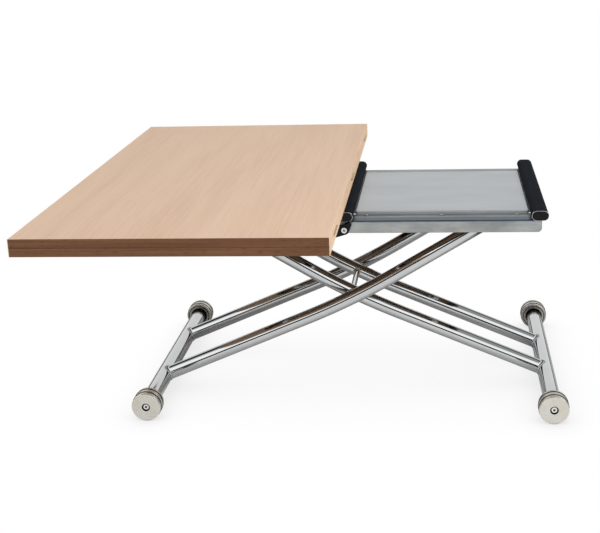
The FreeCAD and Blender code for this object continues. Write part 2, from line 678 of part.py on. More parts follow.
def lever_bush():
    """Flanged bush in the front channel for the lever's shaft."""
    outer = LEVER_SHAFT_R + LEVER_BUSH_WALL
    bore = LEVER_SHAFT_R + RUNNING_FIT
    flange_start = V(0, -FRAME_SIDE - LEVER_BUSH_FLANGE, LEVER_Z)
    flange = rod(flange_start, Y_AXIS, outer + LEVER_BUSH_WALL, LEVER_BUSH_FLANGE)
    body = flange.fuse(rod(flange_start, Y_AXIS, outer, 2 * LEVER_BUSH_FLANGE + CHANNEL_WALL))
    return body.cut(rod(flange_start, Y_AXIS, bore, 2 * LEVER_BUSH_FLANGE + CHANNEL_WALL))


def lever_shaft():
    """Lever shaft with the crank that moves the push rod."""
    crank_end = PUSH_ROD_Y - PUSH_ROD_PLATE / 2 - SIDE_GAP
    crank_start = V(0, crank_end - CRANK_WIDTH, LEVER_Z)
    shaft = rod(V(0, LEVER_FRONT, LEVER_Z), Y_AXIS, LEVER_SHAFT_R, crank_end - LEVER_FRONT)
    pin_base = crank_start + V(0, 0, CRANK_R)
    crank = tangent_link(crank_start, CRANK_HUB_R, pin_base, CRANK_TIP_R, CRANK_WIDTH)
    pin = rod(pin_base, Y_AXIS, CRANK_PIN_R, CRANK_WIDTH + SIDE_GAP + PUSH_ROD_PLATE)
    return shaft.fuse([crank, pin]).removeSplitter()


def push_rod():
    """Rod from the crank to the valve head, with a slotted plate round the crank pin."""
    slot = CRANK_PIN_R + SLIDE_GAP
    half = PUSH_ROD_PLATE / 2
    side = slot + PUSH_ROD_R
    low = PUSH_ROD_Z - CRANK_HUB_R
    high = CHANNEL_TOP - SIDE_GAP
    plate = block(-side, side, PUSH_ROD_Y - half, PUSH_ROD_Y + half, low, high)
    plate = plate.cut(block(-slot, slot, PUSH_ROD_Y - half, PUSH_ROD_Y + half, low, PUSH_ROD_Z + slot))
    stem = rod(V(side, PUSH_ROD_Y, PUSH_ROD_Z), X_AXIS, PUSH_ROD_R, SPRING_TUBE_END + HEAD_LENGTH / 2 - side)
    return plate.fuse(stem).removeSplitter()


def lever_bracket():
    """Angle under the centre rest rail that carries the inner end of the lever's shaft."""
    wall = CHANNEL_WALL
    profile = [
        V(-BRACKET_HALF_WIDTH, BRACKET_Y, CHANNEL_BOTTOM),
        V(-BRACKET_HALF_WIDTH, BRACKET_Y, CHANNEL_TOP - wall),
        V(-BRACKET_HALF_WIDTH, BRACKET_Y - 2 * BRACKET_HALF_WIDTH, CHANNEL_TOP - wall),
    ]
    angle = bent_sheet(profile, -wall, V(2 * BRACKET_HALF_WIDTH, 0, 0))
    bore = rod(V(0, BRACKET_Y - 2 * BRACKET_HALF_WIDTH, LEVER_Z), Y_AXIS,
               LEVER_SHAFT_R + RUNNING_FIT, 4 * BRACKET_HALF_WIDTH)
    return angle.cut(bore)


def swivel_plate():
    """Square plate under the lower leaf that turns on the pivot bolt."""
    half = SWIVEL_PLATE_SIZE / 2
    low = LEAF_BOTTOM - SWIVEL_PLATE_THICKNESS
    plate = rounded_block(SWIVEL_X - half, SWIVEL_X + half, SWIVEL_Y - half, SWIVEL_Y + half,
                          low, LEAF_BOTTOM, SWIVEL_PLATE_CORNER, Z_AXIS)
    bore = SWIVEL_BOLT_R + RUNNING_FIT
    return plate.cut(rod(V(SWIVEL_X, SWIVEL_Y, low), Z_AXIS, bore, SWIVEL_PLATE_THICKNESS))


def swivel_base():
    """Bearing disc between the left top plate and the turning plate."""
    height = LEAF_BOTTOM - SWIVEL_PLATE_THICKNESS - SLIDE_GAP - PLATE_TOP
    return sleeve(V(SWIVEL_X, SWIVEL_Y, PLATE_TOP), Z_AXIS, SWIVEL_BASE_R, SWIVEL_BOLT_R + SEAT_GAP, height)


def swivel_backing():
    """Stiffening plate under the left top plate."""
    half = PLATE_SIDE - PLATE_SHEET - SWIVEL_BACKING_GAP - SWIVEL_Y
    high = PLATE_TOP - PLATE_SHEET
    low = high - SWIVEL_BACKING_THICKNESS
    plate = rounded_block(SWIVEL_X - half, SWIVEL_X + half, SWIVEL_Y - half, SWIVEL_Y + half,
                          low, high, SWIVEL_PLATE_CORNER, Z_AXIS)
    bore = SWIVEL_BOLT_R + SEAT_GAP
    return plate.cut(rod(V(SWIVEL_X, SWIVEL_Y, low), Z_AXIS, bore, SWIVEL_BACKING_THICKNESS))


def swivel_bolt():
    """Pivot bolt, with its head under the stiffening plate."""
    seat = PLATE_TOP - PLATE_SHEET - SWIVEL_BACKING_THICKNESS
    shank = rod(V(SWIVEL_X, SWIVEL_Y, seat), Z_AXIS, SWIVEL_BOLT_R, LEAF_BOTTOM - SLIDE_GAP - seat)
    head = rod(V(SWIVEL_X, SWIVEL_Y, seat - SWIVEL_HEAD_HEIGHT), Z_AXIS, SWIVEL_HEAD_R, SWIVEL_HEAD_HEIGHT)
    return shank.fuse(head)


def hinge_places():
    """Middle of each fold hinge along Y."""
    return (-HINGE_SPREAD, 0.0, HINGE_SPREAD)


def hinge_pockets():
    """Cutters for the hinge flaps and barrels in both leaves."""
    cutters = []
    half = HINGE_LENGTH / 2 + HINGE_POCKET_GAP
    flap_reach = HINGE_FLAP_WIDTH + HINGE_POCKET_GAP
    flap_depth = LEAF_GAP / 2 + HINGE_FLAP_THICKNESS + SEAT_GAP
    barrel = HINGE_BARREL_R + HINGE_POCKET_GAP
    for y in hinge_places():
        for reach, depth in ((flap_reach, flap_depth), (barrel, barrel)):
            cutters.append(block(-reach, LEAF_EDGE_X, y - half, y + half, SEAM_Z - depth, SEAM_Z + depth))
    return cutters


def hinge_flaps(side, knuckles):
    """Flaps on one leaf, on the given side of the seam, with their knuckles (first, last) in thirds."""
    third = HINGE_LENGTH / 3
    face = SEAM_Z + side * LEAF_GAP / 2
    low, high = sorted((face, face + side * HINGE_FLAP_THICKNESS))
    flaps = []
    for y in hinge_places():
        start = y - HINGE_LENGTH / 2
        axis_start = V(0, start, SEAM_Z)
        flap = block(-HINGE_FLAP_WIDTH, LEAF_EDGE_X, start, start + HINGE_LENGTH, low, high)
        flap = flap.cut(rod(axis_start, Y_AXIS, HINGE_BARREL_R + HINGE_POCKET_GAP, HINGE_LENGTH))
        for index in knuckles:
            begin = start + index * third + HINGE_KNUCKLE_GAP / 2
            length = third - HINGE_KNUCKLE_GAP
            barrel = rod(V(0, begin, SEAM_Z), Y_AXIS, HINGE_BARREL_R, length)
            strap = block(-2 * HINGE_BARREL_R, LEAF_EDGE_X, begin, begin + length, low, high)
            flap = flap.fuse([barrel, strap])
        flap = flap.cut(rod(axis_start, Y_AXIS, HINGE_PIN_R + RUNNING_FIT, HINGE_LENGTH))
        flaps.append(flap.removeSplitter())
    return Part.makeCompound(flaps)


def hinge_pins():
    """Pins through the hinge knuckles."""
    pins = []
    for y in hinge_places():
        pins.append(rod(V(0, y - HINGE_LENGTH / 2, SEAM_Z), Y_AXIS, HINGE_PIN_R, HINGE_LENGTH))
    return Part.makeCompound(pins)


def edge_strip(x0, x1, y0, y1, bottom, outward):
    """Edge band of a leaf with its two outer edges rounded."""
    strip = block(x0, x1, y0, y1, bottom, bottom + LEAF_THICKNESS)
    middle = strip.CenterOfMass.dot(outward)
    long_edges = edges_along(strip, Z_AXIS.cross(outward))
    return strip.makeFillet(BAND_ROUND, [e for e in long_edges if e.CenterOfMass.dot(outward) > middle])


def leaf(bottom):
    """Panel, end bands and long bands of one leaf whose underside is at the given height."""
    left, right = LEAF_EDGE_X - LEAF_WIDTH, LEAF_EDGE_X
    end = LEAF_LENGTH / 2
    in_left, in_right, in_end = left + BAND_THICKNESS, right - BAND_THICKNESS, end - BAND_THICKNESS
    panel = block(in_left, in_right, -in_end, in_end, bottom, bottom + LEAF_THICKNESS)
    front_strip = edge_strip(in_left, in_right, -end, -in_end, bottom, -Y_AXIS)
    left_strip = edge_strip(left, in_left, -end, end, bottom, -X_AXIS)
    right_strip = edge_strip(in_right, right, -end, end, bottom, X_AXIS)
    for cutter in hinge_pockets():
        panel = panel.cut(cutter)
        right_strip = right_strip.cut(cutter)
    return panel, front_and_back(front_strip), Part.makeCompound([left_strip, right_strip])


def frame_parts():
    """Everything fixed to the lift frame."""
    right_plate = top_plate()
    bolt_hole = rod(V(SWIVEL_X, SWIVEL_Y, CHANNEL_TOP), Z_AXIS, SWIVEL_BOLT_R + SEAT_GAP, PLATE_HEIGHT)
    channel = side_channel()
    return {
        "front_side_channel": channel.cut(lever_bush_hole()),
        "back_side_channel": mirrored(channel, Y_AXIS),
        "frame_end_plates": end_plates(),
        "right_top_plate": right_plate,
        "left_top_plate": mirrored(right_plate, X_AXIS).cut(bolt_hole),
        "top_plate_screws": top_plate_screws(),
        "left_rest_rail": rest_rail(-RAIL_X),
        "centre_rest_rail": rest_rail(0),
        "right_rest_rail": rest_rail(RAIL_X),
        "rest_rail_end_caps": rest_rail_caps(),
        "fixed_top_shaft": top_shaft(SHAFT_X),
        "fixed_shaft_blocks": shaft_blocks(SHAFT_X, SHAFT_BLOCK_LENGTH, SHAFT_BLOCK_WIDTH, SEAT_GAP),
        "gas_spring_cylinder": gas_spring_cylinder(),
        "gas_spring_valve_head": gas_spring_head(),
        "lever_bush": lever_bush(),
        "lever_shaft_bracket": lever_bracket(),
        "swivel_base_disc": swivel_base(),
        "swivel_backing_plate": swivel_backing(),
        "swivel_pivot_bolt": swivel_bolt(),
    }


def carriage_parts():
    """Everything that slides along the channels with the inner legs' top shaft."""
    return {
        "sliding_top_shaft": top_shaft(-SHAFT_X),
        "track_slide_blocks": shaft_blocks(-SHAFT_X, SLIDER_LENGTH, SLIDER_WIDTH, SLIDE_GAP),
        "gas_spring_rod": gas_spring_rod(),
    }


def leg_parts():
    """Both pairs of legs, their feet and the middle pivot."""
    outer_leg = leg(-OUTER_LEG_Y, PIVOT_AXLE_R + SEAT_GAP)
    inner_leg = mirrored(leg(-INNER_LEG_Y, PIVOT_AXLE_R + PIVOT_BUSH_WALL + SEAT_GAP), X_AXIS)
    left_foot = foot_tube()
    plugs = front_and_back(foot_plug())
    screws = front_and_back(axle_screw())
    return {
        "left_foot_tube": left_foot,
        "front_outer_leg": outer_leg,
        "back_outer_leg": mirrored(outer_leg, Y_AXIS),
        "outer_leg_lugs": front_and_back(leg_lug(-OUTER_LEG_Y)),
        "left_foot_plugs": plugs,
        "left_axle_screws": screws,
        "pivot_axle": pivot_axle(),
        "pivot_spacers": front_and_back(pivot_spacer()),
        "right_foot_tube": mirrored(left_foot, X_AXIS),
        "front_inner_leg": inner_leg,
        "back_inner_leg": mirrored(inner_leg, Y_AXIS),
        "inner_leg_lugs": mirrored(front_and_back(leg_lug(-INNER_LEG_Y)), X_AXIS),
        "inner_pivot_bushes": front_and_back(pivot_bush(-INNER_LEG_Y)),
        "right_foot_plugs": mirrored(plugs, X_AXIS),
        "right_axle_screws": mirrored(screws, X_AXIS),
    }


def wheel_parts():
    """Four wheels with their rubber rings."""
    cup = wheel()
    rings = Part.makeCompound([wheel_ring(y, WHEEL_RING_R) for y in ring_centres()])
    made = {}
    for end, x_flip in (("left", False), ("right", True)):
        for side, y_flip in (("front", False), ("back", True)):
            for name, shape in (("wheel", cup), ("wheel_rings", rings)):
                shape = mirrored(shape, X_AXIS) if x_flip else shape
                shape = mirrored(shape, Y_AXIS) if y_flip else shape
                made[f"{side}_{end}_{name}"] = shape
    return made


def lever_parts():
    """The release lever with what turns with it, and the push rod it moves."""
    return {
        "release_lever": lever(),
        "lever_screw": lever_screw(),
        "lever_shaft": lever_shaft(),
        "valve_push_rod": push_rod(),
    }


def top_parts():
    """Both leaves, the fold hinges and the swivel's turning plate."""
    lower = leaf(LEAF_BOTTOM)
    upper = leaf(SEAM_Z + LEAF_GAP / 2)
    made = {}
    for name, pieces in (("lower", lower), ("upper", upper)):
        for piece, shape in zip(("panel", "end_bands", "long_bands"), pieces):
            made[f"{name}_leaf_{piece}"] = shape
    made["swivel_turning_plate"] = swivel_plate()
    made["lower_hinge_flaps"] = hinge_flaps(-1, (0, 2))
    made["upper_hinge_flaps"] = hinge_flaps(1, (1,))
    made["fold_hinge_pins"] = hinge_pins()
    return made


def main():
    os.makedirs("parts", exist_ok=True)
    nodes = {}
    for group in (frame_parts, carriage_parts, leg_parts, wheel_parts, lever_parts, top_parts):
        nodes.update(group())
    for name, shape in nodes.items():
        shape.exportStep(f"parts/{name}.step")
    print(len(nodes), "nodes, table top at", round(TABLE_TOP, 1), "mm")


if __name__ == "__main__":
    main()
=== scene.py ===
"""Looks of the convertible coffee and dining table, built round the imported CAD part.

Metres, in the CAD frame: X to the right, Y to the back, Z up.
"""
import json
import math

import bmesh
import bpy
from mathutils import Matrix, Vector


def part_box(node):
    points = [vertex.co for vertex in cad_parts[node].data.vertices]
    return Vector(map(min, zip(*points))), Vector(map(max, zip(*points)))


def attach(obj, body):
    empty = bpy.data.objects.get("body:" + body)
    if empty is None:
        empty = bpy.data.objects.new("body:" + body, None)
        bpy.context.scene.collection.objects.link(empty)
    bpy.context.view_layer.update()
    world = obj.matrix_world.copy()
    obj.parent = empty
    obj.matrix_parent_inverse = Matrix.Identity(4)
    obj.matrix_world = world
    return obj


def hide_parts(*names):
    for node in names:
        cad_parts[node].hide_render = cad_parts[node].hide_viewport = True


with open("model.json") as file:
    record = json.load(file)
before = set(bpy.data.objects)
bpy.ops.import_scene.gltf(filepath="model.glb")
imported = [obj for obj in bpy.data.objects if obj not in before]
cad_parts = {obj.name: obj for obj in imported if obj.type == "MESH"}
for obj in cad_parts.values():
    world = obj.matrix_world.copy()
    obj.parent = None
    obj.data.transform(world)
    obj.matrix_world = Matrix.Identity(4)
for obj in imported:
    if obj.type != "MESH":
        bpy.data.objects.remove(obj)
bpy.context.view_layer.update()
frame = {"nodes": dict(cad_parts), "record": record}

X_AXIS, Y_AXIS = 0, 1
FULL_TURN = 2 * math.pi
WHITE = (1.0, 1.0, 1.0, 1.0)

# Camera, solved from the photograph for a frame of 600 x 533, with its angles in radians
CAMERA_PLACE = Vector((0.19271, -2.52664, 1.00605))
CAMERA_YAW = 0.0976
CAMERA_PITCH = 0.2935
CAMERA_ROLL = -0.0315
CAMERA_LENS = 72.12
CAMERA_SENSOR = 36.0
CAMERA_SHIFT_X = -0.05

# Leg and foot tubes, with the sizes of the part's source
FOOT_R = 0.0175
LEG_R = 0.015
LEG_WALL = 0.0015
LEG_FOOT_ANGLE = math.radians(22.7)
LEG_BEND_ANGLE = math.radians(8)
LEG_BEND_R = 1.5
LEG_LOWER_RUN = 0.344
LEG_UPPER_RUN = 0.2287
OUTER_LEG_Y = 0.123
INNER_LEG_Y = 0.080

# Mesh of the leg tubes: the first flat ring above the cope, and the last one below the top end
LEG_SIDES = 96
LEG_BEND_STEPS = 48
LEG_ROOT = 0.02
LEG_EDGE = 0.0004

# Weld beads: shares of the radius, and slow waves of (share, count round the joint, start)
BEAD_R = 0.0021
BEAD_STEPS = 180
BEAD_SIDES = 10
BEAD_RIPPLES = 34
BEAD_CORE = 0.88
BEAD_RIPPLE = 0.2
BEAD_WAVES = ((0.08, 3, 1), (0.06, 7, 2))

# Painted highlight: bright rims between the rest rails and their caps
RIM_WIDTH = 0.0016
RIM_PROUD = 0.00015
RIM_ROOT = 0.00075
RIM_LIP = 0.0012
RIM_STEPS = 24

# Painted shade in sockets and grooves, in the leaves' seam and round the hinges
PAINTED_SHADE_REACH = 0.005
PAINTED_SEAM_SHADE_REACH = 0.006
PAINTED_HINGE_SHADE_REACH = 0.0005
PAINTED_SHADE_SAMPLES = 12
PAINTED_SHADE_STOPS = ((0.35, 0.05), (0.8, 1.0))

# Painted dark, bluish reflection along the outer part of the frame's front flange
PAINTED_REFLECTION_TONE = (92, 106, 122)
PAINTED_REFLECTION_FROM = -0.207
PAINTED_REFLECTION_FADE = 0.005
PAINTED_REFLECTION_BEND = 0.0035

# Wood print: height of its streaks beside that of its pores
STREAK_HEIGHT = 0.6

# Sheet metal: scale of its clouds and fine lines along the sheet, as a share of that across it
CLOUD_STRETCH = 0.45
LINE_STRETCH = 0.02

# Painted shade on sheet metal, by the height of a face's normal
UNDERSIDE_SHADE_TONE = (124, 99, 76)
UNDERSIDE_SHADE_FROM = -0.3
UNDERSIDE_SHADE_FULL = -0.7

# Chrome: share of its tint that is left under smudges
SMUDGE_LEVEL = 0.93

# Wheel metal, from clean to warm, and its turning lines with their scale along radius and axle
NICKEL_CLEAN = (212, 211, 206)
NICKEL_WARM = (207, 202, 188)
NICKEL_LINE = (120, 116, 108)
NICKEL_LINE_SCALE = (2600.0, 1500.0, 1.0)

# Floor: its grey, its level in mirrors from front to back, and the shadow that the camera sees
FLOOR_REACH = 30.0
FLOOR_GREY = (0.5, 0.5, 0.5, 1.0)
FLOOR_MIRROR = {"start": -0.34, "end": 0.02, "low": 0.6, "high": 0.08}
SHADOW_REACH = 0.4
SHADOW_SAMPLES = 32
SHADOW_STOPS = ((0.2, 0.76), (0.97, 1.0))

# Studio that mirrors show: levels by height in front and behind, below the horizon and overhead
STUDIO_FRONT = ((0.0, 0.01), (0.25, 0.01), (0.33, 1.0), (0.68, 1.0), (0.8, 0.01))
STUDIO_BACK = ((0.0, 0.01), (0.04, 0.01), (0.09, 0.65), (0.45, 0.65), (0.6, 0.01))
STUDIO_CHANGE = {"start": -0.15, "end": 0.15}
STUDIO_BELOW = {"start": -0.02, "end": -0.06, "low": 0.0, "high": 0.2}
CEILING_HEIGHT = {"start": 0.68, "end": 0.82, "low": 0.0, "high": 0.28}
CEILING_SIDE = {"start": -0.02, "end": 0.18}

# Strength of the even light, of the studio in mirrors and of the white that the camera sees
EVEN_LIGHT = 0.58
STUDIO_LIGHT = 1.6
CAMERA_LIGHT = 1.0

# Lamps: name, place, width, watts and colour
LAMP_TARGET = Vector((0.0, 0.0, 0.4))
LAMPS = (
    ("key_light", Vector((2.5, -1.0, 2.4)), 4.4, 84.0, (1.0, 0.985, 0.965)),
    ("fill_light", Vector((-1.8, -2.3, 2.0)), 4.0, 18.0, (0.97, 0.985, 1.0)),
)


def srgb(red, green, blue):
    """Linear colour of an 8-bit display colour."""
    linear = []
    for value in (red, green, blue):
        v = value / 255
        linear.append(v / 12.92 if v <= 0.04045 else ((v + 0.055) / 1.055) ** 2.4)
    return (*linear, 1.0)


def by_id(sockets, identifier):
    """The socket with an identifier, where several share a name."""
    return next(s for s in sockets if s.identifier == identifier)


class Nodes:
    """Adds and links shader nodes in one node tree."""

    def __init__(self, tree):
        self.tree = tree

    def node(self, kind, **settings):
        """A new node with some of its settings."""
        made = self.tree.nodes.new(kind)
        for key, value in settings.items():
            setattr(made, key, value)
        return made

    def feed(self, socket, value):
        """Links an output to a socket, or sets a constant on it."""
        if isinstance(value, bpy.types.NodeSocket):
            self.tree.links.new(value, socket)
        else:
            socket.default_value = value

    def coordinate(self, kind):
        """One of the texture coordinates."""
        return self.node("ShaderNodeTexCoord").outputs[kind]

    def axes(self, vector):
        """X, Y and Z of a vector."""
        made = self.node("ShaderNodeSeparateXYZ")
        self.feed(made.inputs["Vector"], vector)
        return made.outputs

    def calc(self, operation, a, b=0.0):
        """Math with one or two values."""
        made = self.node("ShaderNodeMath", operation=operation)
        self.feed(made.inputs[0], a)
        self.feed(made.inputs[1], b)
        return made.outputs["Value"]

    def ramp(self, value, *stops):
        """Colour ramp; each stop is (place, grey level or colour)."""
        made = self.node("ShaderNodeValToRGB")
        points = made.color_ramp.elements
        while len(points) < len(stops):
            points.new(1.0)
        for point, (place, colour) in zip(points, stops):
            point.position = place
            point.color = colour if isinstance(colour, tuple) else (colour, colour, colour, 1.0)
        self.feed(made.inputs["Fac"], value)
        return made.outputs["Color"]

    def step(self, value, start, end, low=0.0, high=1.0):
        """Soft change from low to high as a value runs from start to end."""
        made = self.node("ShaderNodeMapRange", interpolation_type="SMOOTHSTEP")
        self.feed(made.inputs["Value"], value)
        self.feed(made.inputs["From Min"], start)
        self.feed(made.inputs["From Max"], end)
        self.feed(made.inputs["To Min"], low)
        self.feed(made.inputs["To Max"], high)
        return made.outputs["Result"]

    def blend(self, factor, a, b, mode="MIX"):
        """Mixes two colours."""
        made = self.node("ShaderNodeMix", data_type="RGBA", blend_type=mode)
        self.feed(by_id(made.inputs, "Factor_Float"), factor)
        self.feed(by_id(made.inputs, "A_Color"), a)
        self.feed(by_id(made.inputs, "B_Color"), b)
        return by_id(made.outputs, "Result_Color")

    def pick(self, factor, a, b):
        """Mixes two shaders."""
        made = self.node("ShaderNodeMixShader")
        self.feed(made.inputs["Fac"], factor)
        self.feed(made.inputs[1], a)
        self.feed(made.inputs[2], b)
        return made.outputs["Shader"]

    def occlusion(self, reach, samples):
        """1 in the open, less within reach of other surfaces."""
        made = self.node("ShaderNodeAmbientOcclusion", samples=samples)
        self.feed(made.inputs["Distance"], reach)
        return made.outputs["AO"]

    def ray_kinds(self):
        """Factors for camera rays and for the rays of mirrors and glass."""
        path = self.node("ShaderNodeLightPath").outputs
        mirrored = self.calc("MAXIMUM", path["Is Glossy Ray"], path["Is Transmission Ray"])
        return path["Is Camera Ray"], mirrored


class Finish(Nodes):
    """A procedural material that is built up step by step round one shader."""

    def __init__(self, name, sockets):
        self.material = bpy.data.materials.new(name)
        self.material.use_nodes = True
        super().__init__(self.material.node_tree)
        self.shader = self.tree.nodes["Principled BSDF"]
        for socket, value in sockets.items():
            self.shade(socket, value)
        self.place = self.coordinate("Object")

    def shade(self, socket, value):
        """Feeds a socket of the material's shader."""
        self.feed(self.shader.inputs[socket], value)

    def noise(self, scale, detail=2.0, rough=0.5, warp=0.0, place=None):
        """Noise with its own scale along each axis, in features per metre."""
        stretched = self.node("ShaderNodeVectorMath", operation="MULTIPLY")
        self.feed(stretched.inputs[0], place or self.place)
        self.feed(stretched.inputs[1], scale)
        made = self.node("ShaderNodeTexNoise")
        self.feed(made.inputs["Vector"], stretched.outputs["Vector"])
        self.feed(made.inputs["Scale"], 1.0)
        self.feed(made.inputs["Detail"], detail)
        self.feed(made.inputs["Roughness"], rough)
        self.feed(made.inputs["Distortion"], warp)
        return made.outputs["Fac"]

    def shared(self, a, b, share):
        """Sum of a share of one value and the rest of another."""
        rest = self.calc("MULTIPLY", b, 1 - share)
        return self.calc("ADD", self.calc("MULTIPLY", a, share), rest)

    def spread(self, value, low, high):
        """Maps 0 to 1 on to low to high."""
        made = self.node("ShaderNodeMapRange")
        self.feed(made.inputs["Value"], value)
        self.feed(made.inputs["To Min"], low)
        self.feed(made.inputs["To Max"], high)
        return made.outputs["Result"]

    def painted_recess_shade(self, colour, reach):
        """Painted shade: darkens a colour in sockets and grooves that are about as wide as a
        reach.
        """
        # painted shade: occlusion darkens the colour near other surfaces
        shade = self.ramp(self.occlusion(reach, PAINTED_SHADE_SAMPLES), *PAINTED_SHADE_STOPS)
        return self.blend(1.0, colour, shade, "MULTIPLY")

    def bump(self, height, relief):
        """Bump of a depth in metres."""
        made = self.node("ShaderNodeBump")
        self.feed(made.inputs["Height"], height)
        self.feed(made.inputs["Distance"], relief)
        self.shade("Normal", made.outputs["Normal"])


def even(scale):
    """Noise scale that is the same along each axis."""
    return scale, scale, scale


def along(axis, across, run):
    """Noise scale that is stretched along one axis."""
    scale = [across, across, across]
    scale[axis] = run
    return scale


def wood(name, dark, mid, pale, axis, relief, pore_run, pore_depth, seam=None):
    """Wood print with its grain along one axis: figure, streaks, short pores, painted shade in
    seams.
    """
    f = Finish(name, {"Specular IOR Level": 0.2})
    figure = f.noise(along(axis, across=11.0, run=0.9), detail=3.0, rough=0.55, warp=0.7)
    streaks = f.noise(along(axis, across=190.0, run=4.2), detail=5.0, rough=0.62, warp=0.25)
    pores = f.noise(along(axis, across=760.0, run=pore_run), detail=2.0, rough=0.45)
    tone = f.shared(figure, streaks, share=0.42)
    colour = f.ramp(tone, (0.3, srgb(*dark)), (0.5, srgb(*mid)), (0.7, srgb(*pale)))
    strokes = f.ramp(pores, (0.28, 0.0), (0.42, 1.0))
    pore_shade = f.spread(strokes, low=pore_depth, high=0.0)
    colour = f.blend(pore_shade, colour, srgb(*dark), "MULTIPLY")
    # painted shade in the seams, where a reach is given
    f.shade("Base Color", colour if seam is None else f.painted_recess_shade(colour, seam))
    f.shade("Roughness", f.spread(streaks, low=0.4, high=0.56))
    f.bump(f.calc("ADD", strokes, f.calc("MULTIPLY", streaks, STREAK_HEIGHT)), relief)
    return f.material


def painted_flange_reflection(f, colour, top):
    """Painted dark, bluish reflection along the outer part of the front flange and over its bend.
    """
    axes = f.axes(f.place)
    outer = f.step(axes["Y"], PAINTED_REFLECTION_FROM, PAINTED_REFLECTION_FROM - PAINTED_REFLECTION_FADE)
    upper = f.step(axes["Z"], top - PAINTED_REFLECTION_BEND, top - PAINTED_REFLECTION_BEND / 2)
    return f.blend(f.calc("MULTIPLY", outer, upper), colour, srgb(*PAINTED_REFLECTION_TONE))


def painted_underside_shade(f, colour):
    """Painted shade: a dark brown tone on the faces that look down."""
    normal = f.axes(f.node("ShaderNodeNewGeometry").outputs["Normal"])
    underside_shade = f.step(normal["Z"], UNDERSIDE_SHADE_FROM, UNDERSIDE_SHADE_FULL)
    return f.blend(underside_shade, colour, srgb(*UNDERSIDE_SHADE_TONE))


def sheet_metal(name, dark, light, metal, roughness, axis, grain, cloud, relief, painted_reflection_top=None):
    """Rolled or brushed sheet: clouds of tone and fine lines along one axis, painted shade
    underneath, and a painted dark reflection on the front flange where a top is given.
    """
    f = Finish(name, {"Metallic": metal})
    clouds = f.noise(along(axis, across=cloud, run=cloud * CLOUD_STRETCH), detail=3.0, rough=0.55)
    lines = f.noise(along(axis, across=grain, run=grain * LINE_STRETCH), detail=3.0, rough=0.6)
    specks = f.noise(even(900.0), detail=1.0)
    tone = f.shared(clouds, lines, share=0.6)
    colour = f.ramp(tone, (0.3, srgb(*dark)), (0.7, srgb(*light)))
    # painted dark reflection along the front flange, where a top is given
    colour = colour if painted_reflection_top is None else painted_flange_reflection(f, colour, painted_reflection_top)
    # painted shade on the faces that look down
    f.shade("Base Color", painted_underside_shade(f, colour))
    f.shade("Roughness", f.spread(f.shared(lines, specks, share=0.7), *roughness))
    f.bump(lines, relief)
    return f.material


def chrome(name, tint, roughness):
    """Bright chrome with faint smudges and water spots."""
    f = Finish(name, {"Metallic": 1.0})
    smudge = f.noise(even(26.0), detail=4.0, rough=0.6, warp=0.4)
    spots = f.noise(even(420.0), detail=1.0)
    smudged = tuple(SMUDGE_LEVEL * c for c in tint)
    f.shade("Base Color", f.ramp(smudge, (0.3, (*tint, 1.0)), (0.72, (*smudged, 1.0))))
    f.shade("Roughness", f.spread(f.shared(smudge, spots, share=0.75), *roughness))
    f.bump(smudge, relief=0.00002)
    return f.material


def turned_nickel(name, foot_x, axle_z):
    """Wheel metal: fine turning lines round the axle, a faint warm patina, scuffs and painted
    shade in its recesses.
    """
    f = Finish(name, {"Metallic": 1.0})
    axes = f.axes(f.place)
    side = f.calc("SUBTRACT", f.calc("ABSOLUTE", axes["X"]), foot_x)
    rise = f.calc("SUBTRACT", axes["Z"], axle_z)
    squares = f.calc("ADD", f.calc("MULTIPLY", side, side), f.calc("MULTIPLY", rise, rise))
    turn = f.node("ShaderNodeCombineXYZ")
    f.feed(turn.inputs["X"], f.calc("SQRT", squares))
    f.feed(turn.inputs["Y"], axes["Y"])
    lines = f.noise(NICKEL_LINE_SCALE, detail=3.0, rough=0.7, place=turn.outputs["Vector"])
    patina = f.noise(even(34.0), detail=3.0, rough=0.6)
    scuffs = f.noise(even(240.0), detail=3.0, rough=0.65)
    colour = f.ramp(patina, (0.32, srgb(*NICKEL_CLEAN)), (0.68, srgb(*NICKEL_WARM)))
    colour = f.blend(f.spread(lines, low=0.0, high=0.08), colour, srgb(*NICKEL_LINE))
    # painted shade in the recesses round the axle screws
    f.shade("Base Color", f.painted_recess_shade(colour, PAINTED_SHADE_REACH))
    f.shade("Roughness", f.spread(f.shared(lines, scuffs, share=0.6), low=0.29, high=0.45))
    f.bump(lines, relief=0.00002)
    return f.material


def moulded(name, dark, light, roughness, grain, relief, gloss):
    """Moulded plastic, rubber or powder coat: fine grain and handling marks."""
    f = Finish(name, {"Specular IOR Level": gloss})
    fine = f.noise(even(grain), detail=2.0, rough=0.55)
    marks = f.noise(even(38.0), detail=4.0, rough=0.6, warp=0.5)
    f.shade("Base Color", f.ramp(marks, (0.3, srgb(*dark)), (0.72, srgb(*light))))
    f.shade("Roughness", f.spread(f.shared(fine, marks, share=0.45), *roughness))
    f.bump(fine, relief)
    return f.material


def plated(name, dark, light, roughness, painted_recess_reach):
    """Plated steel of screws, shafts and hinges: cloudy tone, fine scratches and painted shade in
    its recesses.
    """
    f = Finish(name, {"Metallic": 1.0})
    clouds = f.noise(even(60.0), detail=4.0, rough=0.6, warp=0.6)
    scratches = f.noise(along(Y_AXIS, across=1500.0, run=90.0), detail=2.0, rough=0.6)
    colour = f.ramp(clouds, (0.32, srgb(*dark)), (0.7, srgb(*light)))
    # painted shade in sockets and hinge pockets
    f.shade("Base Color", f.painted_recess_shade(colour, painted_recess_reach))
    f.shade("Roughness", f.spread(f.shared(clouds, scratches, share=0.5), *roughness))
    f.bump(scratches, relief=0.00003)
    return f.material


